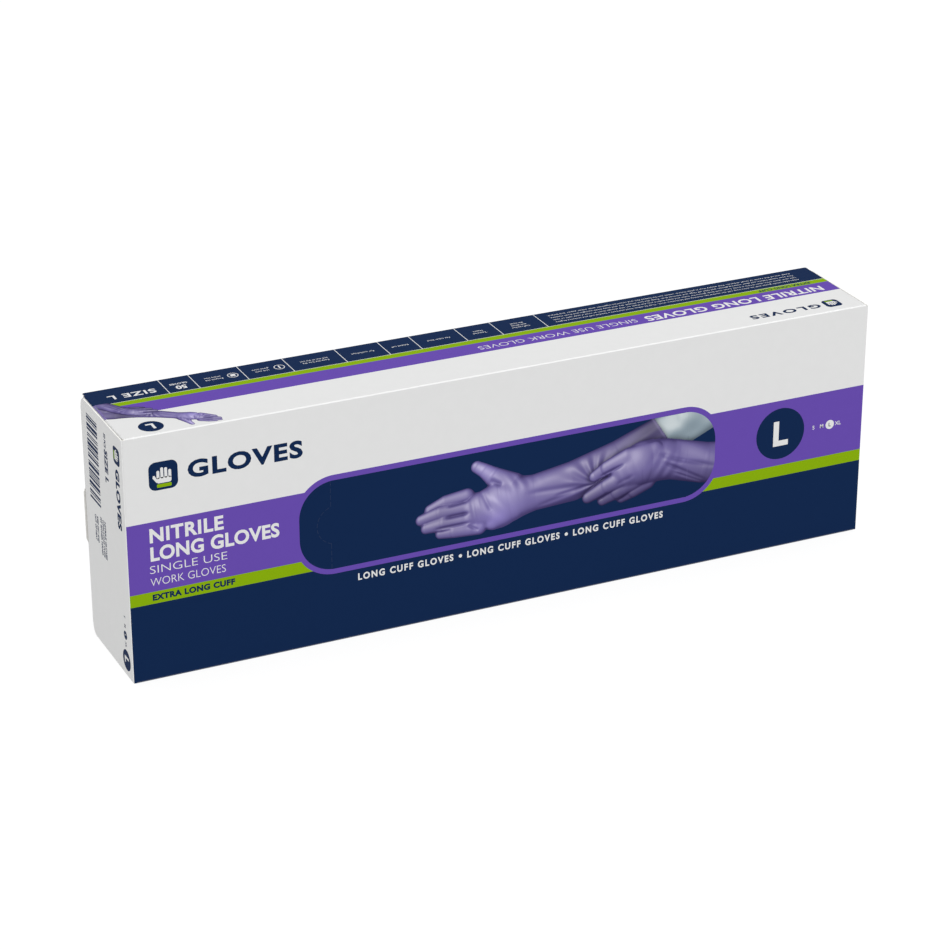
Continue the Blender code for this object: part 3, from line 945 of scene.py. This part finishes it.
TOP_TURN, TOP_SCALE = math.radians(40.3), 2.77
TOP_ANCHOR, PICTURE_ANCHOR = (156.6, 28.7), (-55.5, 57.5)  # one point of the picture, on each face
TOP_LIMITS = (207.8, TOP_EDGE)
PICTURE_LEVEL = 0.012  # above the board, so low that the peeled panel's picture clears the carton's
LILAC = [(0.0, (0.030, 0.022, 0.085)), (0.22, (0.085, 0.066, 0.200)), (0.45, (0.170, 0.140, 0.345))]
LILAC += [(0.66, (0.285, 0.250, 0.465)), (0.85, (0.440, 0.400, 0.610)), (1.0, (0.660, 0.630, 0.780))]
CLOTH = [(0.0, (0.09, 0.12, 0.15)), (0.4, (0.27, 0.34, 0.39))]
CLOTH += [(0.7, (0.52, 0.59, 0.62)), (1.0, (0.74, 0.79, 0.80))]


def limb_height(chain, x, z):
    """Signed distance inside a chain of rounded limbs, and how high its surface stands, per point."""
    best_inside = np.full(x.shape, -1e3)
    best_height = np.full(x.shape, -1e3)
    for (ax, az, ar, ah), (bx, bz, br, bh) in zip(chain, chain[1:]):
        dx, dz = bx - ax, bz - az
        t = np.clip(((x - ax) * dx + (z - az) * dz) / (dx * dx + dz * dz), 0, 1)
        radius = ar + (br - ar) * t
        far = np.hypot(x - ax - dx * t, z - az - dz * t)
        rise = np.sqrt(np.clip(radius**2 - far**2, 0, None)) * 0.8 - np.clip(far - radius, 0, None) * 4
        height = ah + (bh - ah) * t + rise
        best_inside = np.maximum(best_inside, radius - far)
        best_height = np.maximum(best_height, height)
    return best_inside, best_height


def group_height(limbs, x, z, blend):
    """Limbs melted together where they meet: their common outline and surface."""
    insides, heights = zip(*(limb_height(chain, x, z) for chain in limbs.values()))
    outline = np.logaddexp.reduce([i * blend for i in insides]) / blend
    surface = np.logaddexp.reduce([h * blend for h in heights]) / blend
    return outline, surface


def ramp(value, stops):
    places = [s[0] for s in stops]
    return np.stack([np.interp(value, places, [s[1][i] for s in stops]) for i in range(3)], axis=-1)


def softened(field, reach):
    """The field averaged over a square of the given reach, in grid steps."""
    kernel = np.ones(2 * reach + 1) / (2 * reach + 1)
    for axis in (0, 1):
        wide = [(reach, reach) if a == axis else (0, 0) for a in (0, 1)]
        padded = np.pad(field, wide, "edge")
        field = np.apply_along_axis(np.convolve, axis, padded, kernel, "valid")
    return field


def shade(surface, step, stops):
    """Soft studio shading of a surface, as if it had been photographed for the print."""
    slope_z, slope_x = np.gradient(surface, step)
    normal = np.stack([-slope_x, -slope_z, np.ones(surface.shape)], axis=-1)
    normal /= np.linalg.norm(normal, axis=-1, keepdims=True)
    key = np.array((-0.30, 0.32, 0.90))
    fill = np.array((0.15, -0.75, 0.65))
    lit = np.clip(normal @ (key / np.linalg.norm(key)), 0, 1)
    low = np.clip(normal @ (fill / np.linalg.norm(fill)), 0, 1)
    reach = max(2, round(2.4 / step))
    hollow = np.clip((softened(surface, reach) - surface) / 1.6, 0, 1)
    value = 0.05 + 0.50 * lit**1.4 + 0.10 * low + 0.26 * lit**14
    value *= (0.45 + 0.55 * np.clip(normal[..., 2] * 1.4, 0, 1)) * (1 - 0.6 * hollow)
    return ramp(np.clip(value, 0, 1), stops)


def near(x, z, centre_x, centre_z, reach_x, reach_z):
    """A soft patch: 1 at its centre and nothing far from it."""
    return np.exp(-(((x - centre_x) / reach_x) ** 2) - ((z - centre_z) / reach_z) ** 2)


def valley(x, z, start, end, width, depth):
    """A soft crease along a segment, fading towards both of its ends."""
    dx, dz = end[0] - start[0], end[1] - start[1]
    t = ((x - start[0]) * dx + (z - start[1]) * dz) / (dx * dx + dz * dz)
    far = np.hypot(x - start[0] - dx * np.clip(t, 0, 1), z - start[1] - dz * np.clip(t, 0, 1))
    fade = np.clip(1.15 - np.abs(2 * np.clip(t, 0, 1) - 1) ** 3, 0, 1)
    return -depth * fade * np.exp(-((far / width) ** 2))


ARM_VALLEYS = (
    ((-37.5, 63.4), (-26.5, 64.4), 0.8, 1.3),
    ((-39.0, 57.2), (-26.0, 57.6), 0.9, 1.4),
    ((-45.0, 51.8), (-25.0, 52.0), 0.8, 1.2),
    ((-13.5, 73.6), (-7.0, 69.6), 1.3, 1.2),
    ((-19.0, 69.0), (-13.0, 56.0), 1.2, 0.7),
    ((-26.5, 50.6), (-20.0, 46.6), 0.8, 0.8),
    ((8.0, 62.0), (43.0, 60.6), 1.5, 0.8),
    ((13.0, 53.5), (41.0, 58.6), 1.2, 0.6),
    ((24.0, 57.4), (44.0, 59.8), 0.9, 0.7),
)
HELPER_VALLEYS = (
    ((88.0, 64.0), (114.0, 48.6), 1.1, 1.5),
    ((94.0, 57.4), (114.0, 47.2), 0.8, 1.2),
    ((85.0, 70.0), (100.0, 62.4), 1.6, 0.8),
    ((92.0, 66.0), (120.0, 56.0), 1.3, 0.9),
    ((50.0, 63.2), (64.0, 67.6), 0.9, 1.2),
    ((47.5, 49.4), (55.0, 53.0), 0.7, 0.9),
    ((60.0, 57.0), (70.0, 60.0), 1.2, 0.6),
)


def arm_folds(x, z):
    """Folds in the pulled glove: rays from the grip, creases at the wrist and the finger roots."""
    away = np.hypot(x - GRIP[0], z - GRIP[1])
    angle = np.arctan2(z - GRIP[1], x - GRIP[0])
    rays = 0.55 * np.sin(13 * angle + 0.08 * away) * np.exp(-(((away - 12) / 11) ** 2))
    drape = 0.30 * np.sin(0.42 * z - 0.16 * x + 1.2 * np.sin(0.05 * x)) * near(x, z, 26, 64, 26, 20)
    wrist = 0.20 * np.sin(1.15 * x + 0.5 * z + 0.8 * np.sin(0.35 * z)) * near(x, z, 3, 70, 8, 6)
    roots = 0.28 * np.sin(1.5 * x + 0.3 * z) * near(x, z, -23, 56, 4, 9)
    palm = 0.45 * np.sin(0.55 * (x + 0.9 * z) - 29.5) * near(x, z, -10, 57, 9, 8)
    cuff = 0.35 * np.sin(0.75 * (z - 0.5 * x) + 1.0) * near(x, z, 76, 80, 12, 9)
    return rays + drape + wrist + roots + palm + cuff + sum(valley(x, z, *v) for v in ARM_VALLEYS)


def helper_folds(x, z):
    """Broad twists along the second forearm, and creases at its wrist and knuckles."""
    twist = 0.55 * np.sin(0.30 * (z + 0.75 * x) + 1.3 * np.sin(0.06 * x)) * np.clip((x - 84) / 14, 0, 1)
    fine = 0.20 * np.sin(0.85 * (z + 0.45 * x) + 1.2 * np.sin(0.17 * x)) * near(x, z, 98, 60, 12, 10)
    wrist = 0.30 * np.sin(0.9 * (x - 0.7 * z)) * near(x, z, 88, 60, 7, 9)
    knuckles = 0.22 * np.sin(1.1 * (x + 0.5 * z)) * near(x, z, 66, 58, 8, 7)
    return twist + fine + wrist + knuckles + sum(valley(x, z, *v) for v in HELPER_VALLEYS)


def picture_fields(x, z, step, sleeved):
    """The picture's outline and colour at each point of a grid. The arm has a sleeve or a long glove."""
    arm_in, arm = group_height(ARM if sleeved else {**ARM, **LONG_GLOVE}, x, z, 1.6)
    helper_in, helper = group_height(HELPER, x, z, 1.6)
    sleeve_in, sleeve = group_height(SLEEVE, x, z, 1.0)
    end_x, end_z, along_x, along_z = CUFF_LINE
    past_cuff = (x - end_x) * along_x + (z - end_z) * along_z if sleeved else np.full(x.shape, -99.0)
    arm_in = np.where(past_cuff > 0, -1.0, arm_in)
    sleeve_in = np.where(past_cuff > -9, sleeve_in, -1.0)

    glove = shade(arm + arm_folds(x, z), step, LILAC)
    gain = 1.05 - 0.36 * np.clip((x - 8) / 70, 0, 1)
    gain += sum(near(x, z, *patch) * more for *patch, more in ARM_LIGHT)
    glove *= gain[..., None]
    glove += 0.06 * near(x, z, *ARM_LIGHT[0][:4])[..., None]
    glove += np.exp(-(((past_cuff + 0.9) / 0.6) ** 2))[..., None] * np.array((0.07, 0.06, 0.10))
    under_helper = np.clip(1 + helper_in / 3.2, 0, 1) ** 1.6
    glove *= (1 - 0.55 * under_helper)[..., None]

    cloth_folds = 0.7 * np.sin(0.26 * x - 0.20 * z + 0.9 * np.sin(0.2 * z))
    cloth = shade(sleeve + cloth_folds + 0.22 * np.sin(0.6 * z + 0.3 * x), step, CLOTH)
    under_cuff = np.clip(1 - past_cuff / 3.0, 0, 1) ** 2
    cloth *= (1 - 0.45 * np.maximum(under_cuff, under_helper))[..., None]

    colour = np.where((arm_in > 0)[..., None], glove, cloth)
    hand = shade(helper + helper_folds(x, z), step, LILAC)
    hand *= (1 - 0.42 * np.clip((63 - z) / 14, 0, 1))[..., None]
    colour = np.where((helper_in > 0)[..., None], hand, colour)
    return np.maximum(np.maximum(arm_in, helper_in), sleeve_in), colour


def oval_field(x, z, box, radius):
    """Signed distance inside a rectangle with round corners."""
    centre_x, centre_z = (box[0] + box[1]) / 2, (box[2] + box[3]) / 2
    across = np.abs(x - centre_x) - (box[1] - box[0]) / 2 + radius
    up = np.abs(z - centre_z) - (box[3] - box[2]) / 2 + radius
    outside = np.hypot(np.clip(across, 0, None), np.clip(up, 0, None))
    return radius - outside - np.clip(np.maximum(across, up), None, 0)


def build_picture(name, layout, box, to_picture, limit, step, sleeved):
    """Prints the picture on a face. to_picture maps the face's millimetres to the picture's own."""
    columns = int(round((box[1] - box[0]) / step))
    rows = int(round((box[3] - box[2]) / step))
    a = np.linspace(box[0], box[1], columns + 1)[None, :].repeat(rows + 1, axis=0)
    b = np.linspace(box[2], box[3], rows + 1)[:, None].repeat(columns + 1, axis=1)
    px, pz, scale = to_picture(a, b)
    field, colour = picture_fields(px, pz, step * scale, sleeved)
    field = np.minimum(field / scale, limit(a, b))

    vertices, colours, faces, made = [], [], [], {}

    def corner(i, j):
        if (i, j) not in made:
            made[(i, j)] = len(vertices)
            vertices.append((a[i, j], b[i, j]))
            colours.append(colour[i, j])
        return made[(i, j)]

    def crossing(p, q):
        key = (min(p, q), max(p, q))
        if key not in made:
            (i, j), (k, l) = key
            t = field[i, j] / (field[i, j] - field[k, l])
            made[key] = len(vertices)
            vertices.append((a[i, j] + (a[k, l] - a[i, j]) * t, b[i, j] + (b[k, l] - b[i, j]) * t))
            colours.append(colour[i, j] if field[i, j] > 0 else colour[k, l])
        return made[key]

    full = field > 0
    for i in range(rows):
        for j in range(columns):
            cell = [(i, j), (i, j + 1), (i + 1, j + 1), (i + 1, j)]
            inner = [full[c] for c in cell]
            if not any(inner):
                continue
            face = []
            for c, d, c_in, d_in in zip(cell, cell[1:] + cell[:1], inner, inner[1:] + inner[:1]):
                if c_in:
                    face.append(corner(*c))
                if c_in != d_in:
                    face.append(crossing(c, d))
            if len(face) > 2:
                faces.append(tuple(face))

    points = [layout.at(*v, PICTURE_LEVEL) for v in vertices]
    made_picture = link_mesh(name, points, faces, ["picture"])
    paint = made_picture.data.color_attributes.new("print", "FLOAT_COLOR", "POINT")
    paint.data.foreach_set("color", np.insert(np.array(colours), 3, 1.0, axis=1).ravel())
    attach(made_picture, layout.body)


def build_pictures():
    """The gloved hands on the front, split at the tear panel's hinge, and on the top."""

    def same(a, b):
        return a, b, 1.0

    def oval(a, b):
        return oval_field(a, b, OVAL_INSIDE, OVAL_INSIDE_RADIUS)

    panel = Layout("tear_picture", "tear_panel", *FRONT_FACE, "tear_board")
    box = (PICTURE_LEFT, WINDOW[1] - SPLIT_GAP, 41.46, 90.54)
    build_picture("tear_panel_picture", panel, box, same, oval, PICTURE_STEP, True)
    front = Layout("front_picture", "carton", *FRONT_FACE)
    box = (WINDOW[1] + SPLIT_GAP, PICTURE_RIGHT, 41.3, 90.7)
    build_picture("front_picture", front, box, same, oval, PICTURE_STEP, True)

    top = Layout("top_picture", "carton", *TOP_FACE)

    def turned(a, b):
        da, db = (a - TOP_ANCHOR[0]) * TOP_SCALE, (b - TOP_ANCHOR[1]) * TOP_SCALE
        px = PICTURE_ANCHOR[0] + da * math.cos(TOP_TURN) - db * math.sin(TOP_TURN)
        pz = PICTURE_ANCHOR[1] + da * math.sin(TOP_TURN) + db * math.cos(TOP_TURN)
        return px, pz, TOP_SCALE

    def face(a, b):
        return np.minimum(TOP_LIMITS[0] - a, TOP_LIMITS[1] - np.abs(b))

    build_picture("top_picture", top, TOP_PICTURE, turned, face, TOP_PICTURE_STEP, False)


# ---- gloves


GLOVE_PAIRS = 25
STACK_FRONT, STACK_PITCH = -25.4, 2.16
GLOVE_CENTRE_Z = 65
GLOVE_TIP, GLOVE_SIDE = 202, 62
KNUCKLES, WRIST = 118, 12
FINGERS = ((72, 4), (84, 0), (78, 2), (62, 8))  # length and how far back each starts
FINGER_START, FINGER_PITCH, FINGER_RADIUS = -33, 23, 10.5
WRIST_SIDE = 56
THUMB_ROOT, THUMB_END, THUMB_CROTCH = (22, -61), (68, -50), (54, -37.7)  # from the wrist
THUMB_RADIUS = 12
FINE_GRID, COARSE_GRID, DETAILED_PAIRS = 2.2, 9.0, 2
FILM_HALF, BEAD_HALF, FILM_ROUND = 0.62, 0.30, 3.2


def glove_outline():
    """A flat long-cuff glove, fingers towards +X and the thumb below."""
    thumb_root, thumb_end, crotch = ((WRIST + x, z) for x, z in (THUMB_ROOT, THUMB_END, THUMB_CROTCH))
    points = [(-GLOVE_TIP, -GLOVE_SIDE), (WRIST, -WRIST_SIDE), thumb_root]
    points += arc(thumb_end, THUMB_RADIUS, -90, 90, 10) + [crotch]
    for index, (length, back) in enumerate(FINGERS):
        low = FINGER_START + FINGER_PITCH * index
        root, tip = KNUCKLES - back, KNUCKLES - back + length - FINGER_RADIUS
        end = arc((tip, low + FINGER_RADIUS), FINGER_RADIUS, -90, 90, 12)
        points += [(root, low), *end, (root, low + 2 * FINGER_RADIUS)]
    return points + [(WRIST, WRIST_SIDE), (-GLOVE_TIP, GLOVE_SIDE)]


def distance_to(loop, points):
    """How far each point is from the loop."""
    nearest = np.full(len(points), 1e9)
    for a, b in zip(loop, loop[1:] + loop[:1]):
        a, b = np.array(a, float), np.array(b, float)
        t = np.clip((points - a) @ (b - a) / max((b - a) @ (b - a), 1e-9), 0, 1)
        nearest = np.minimum(nearest, np.linalg.norm(points - a - t[:, None] * (b - a), axis=1))
    return nearest


def stack_wave(x, z):
    """The gentle waves that run through the whole stack."""
    return 0.30 * np.sin(x / 41 + z / 26) + 0.16 * np.sin(x / 15 - z / 33 + 1.2)


def front_creases(x, z):
    """Folds of the front glove's slack film, which stand out to the window but clear the thumb tab."""
    long_folds = np.sin(z / 4.4 + 1.6 * np.sin(x / 57) + 0.8 * np.sin(x / 23 + 1)) ** 3
    short_folds = np.sin(z / 2.3 + x / 19 + 1.3 * np.sin(x / 13)) ** 3 * np.sin(x / 37 + z / 21) ** 2
    cross = np.sin(x / 7.5 + 1.9 * np.sin(z / 17)) ** 3 * np.exp(-(((x - 20) / 60) ** 2))
    folds = 1.45 * long_folds * (0.6 + 0.4 * np.sin(x / 31)) + 0.5 * short_folds + 0.8 * cross
    return np.clip(folds + 1.5, 0, None) * (1 - near(x, z, WINDOW[0] - 3, 66, 16, 20))


def build_glove(index, outline, spacing, creased):
    """One flattened pair: two skins that meet at the outline, thicker at the rolled cuff."""
    xs = np.arange(-GLOVE_TIP + 2, GLOVE_TIP, spacing)
    zs = np.arange(-GLOVE_SIDE + 1.5, GLOVE_SIDE, spacing * 0.8)
    grid = np.stack(np.meshgrid(xs, zs), -1).reshape(-1, 2)
    grid = grid[inside(outline, grid)]
    grid = grid[distance_to(outline, grid) > 0.9]
    rim = [(-GLOVE_TIP + s, z) for s in (0.5, 1.0, 1.6, 2.4) for z in zs]
    points, triangles = triangulate([outline], dots=[tuple(p) for p in grid] + rim)
    middles = np.array([points[list(t)].mean(axis=0) for t in triangles])
    triangles = [t for t, keep in zip(triangles, inside(outline, middles)) if keep]
    depth = distance_to(outline, points)
    mirror = -1 if index % 2 else 1
    x, z = points[:, 0] * mirror, points[:, 1] + GLOVE_CENTRE_Z
    body = np.sqrt(np.clip(1 - (1 - np.clip(depth / FILM_ROUND, 0, 1)) ** 2, 0, 1))
    bead = np.exp(-(((points[:, 0] + GLOVE_TIP - 1.0) / 0.8) ** 2)) * np.clip(depth / 0.6, 0, 1)
    half = FILM_HALF * body + BEAD_HALF * bead
    middle = STACK_FRONT + STACK_PITCH * (index + 0.5) + stack_wave(x, z)
    front = middle - half - creased * front_creases(x, z) * body
    back = middle + half
    on_rim = depth < 1e-6
    front[on_rim] = middle[on_rim]
    count = len(points)
    vertices = [*zip(x, front, z), *zip(x, back, z)]
    behind = [i if rim_point else i + count for i, rim_point in enumerate(on_rim)]
    faces = triangles + [tuple(behind[i] for i in reversed(t)) for t in triangles]
    if mirror < 0:
        faces = [tuple(reversed(f)) for f in faces]
    glove = link_mesh(f"glove_film_{index + 1:02d}", vertices, faces, ["nitrile"])
    glove.data.shade_smooth()
    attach(glove, "carton")
    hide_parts(f"glove_pair_{index + 1:02d}")


def build_gloves():
    outline = glove_outline()
    for index in range(GLOVE_PAIRS):
        spacing = FINE_GRID if index < DETAILED_PAIRS else COARSE_GRID
        build_glove(index, outline, spacing, 1.0 if index == 0 else 0.0)


# ---- studio


CAMERA = (-1.48446, -3.12058, 1.56428)  # from the carton's middle, in carton lengths
CAMERA_TURN = math.radians(-25.2025)
CAMERA_RISE = math.radians(24.5493)
CAMERA_LENS, CAMERA_SENSOR = 115.08, 36
CAMERA_SHIFT = (-0.0010, 0.0003)
FLOOR_REACH, FLOOR_DROP = 14.0, 0.0002  # in metres
FLOOR_GLOW = 0.90


def build_camera():
    data = bpy.data.cameras.new("camera")
    data.lens, data.sensor_width = CAMERA_LENS, CAMERA_SENSOR
    data.shift_x, data.shift_y = CAMERA_SHIFT
    data.clip_start, data.clip_end = 0.01, 100
    camera = add_object("camera", data)
    camera.location = Vector(CAMERA) * LENGTH * MM + Vector((0, 0, HEIGHT / 2 * MM))
    camera.rotation_euler = (math.pi / 2 - CAMERA_RISE, 0, CAMERA_TURN)
    bpy.context.scene.camera = camera


def build_floor():
    """A pale studio floor, lit from below as on a light table so that it stays nearly white."""
    n = Nodes("studio_floor")
    n.set(Base_Color=(0.15, 0.15, 0.15, 1), Roughness=0.9, Specular_IOR_Level=0.0)
    n.set(Emission_Color=(1, 1, 1, 1), Emission_Strength=FLOOR_GLOW)
    mesh = bpy.data.meshes.new("studio_floor")
    corners = rectangle(-FLOOR_REACH, FLOOR_REACH, -FLOOR_REACH, FLOOR_REACH)
    mesh.from_pydata([(x, y, -FLOOR_DROP) for x, y in corners], [], [(0, 1, 2, 3)])
    mesh.materials.append(n.material)
    floor = add_object("studio_floor", mesh)


WORLD_LIGHT = 0.45
LIGHTS = (
    ("key", (0.5, -2.2, 2.6), 2.4, 38.0),
    ("top", (0.2, 0.6, 3.2), 2.6, 42.5),
    ("end", (-3.0, 0.4, 0.9), 1.6, 4.0),
)


def build_lights():
    for name, place, size, power in LIGHTS:
        data = bpy.data.lights.new(name, "AREA")
        data.shape = "DISK"
        data.size = size
        data.energy = power
        lamp = add_object(name, data)
        lamp.location = place
        aim = Vector((0, 0, HEIGHT / 2 * MM)) - Vector(place)
        lamp.rotation_euler = aim.to_track_quat("-Z", "Y").to_euler()
    world = bpy.data.worlds.new("studio")
    world.use_nodes = True
    background = world.node_tree.nodes["Background"]
    background.inputs["Color"].default_value = (1, 1, 1, 1)
    background.inputs["Strength"].default_value = WORLD_LIGHT
    bpy.context.scene.world = world
    bpy.context.scene.view_settings.view_transform = "Standard"


build_camera()
build_tube()
build_window_boards()
for side, sign, flip in ENDS:
    build_end_flap(side, sign, flip)
    build_tuck_flap(side, sign, flip)
    build_upright_creases(side, sign)
    build_dust_flaps(side, sign)
build_print()
build_perforations()
build_pictures()
build_gloves()
build_floor()
build_lights()
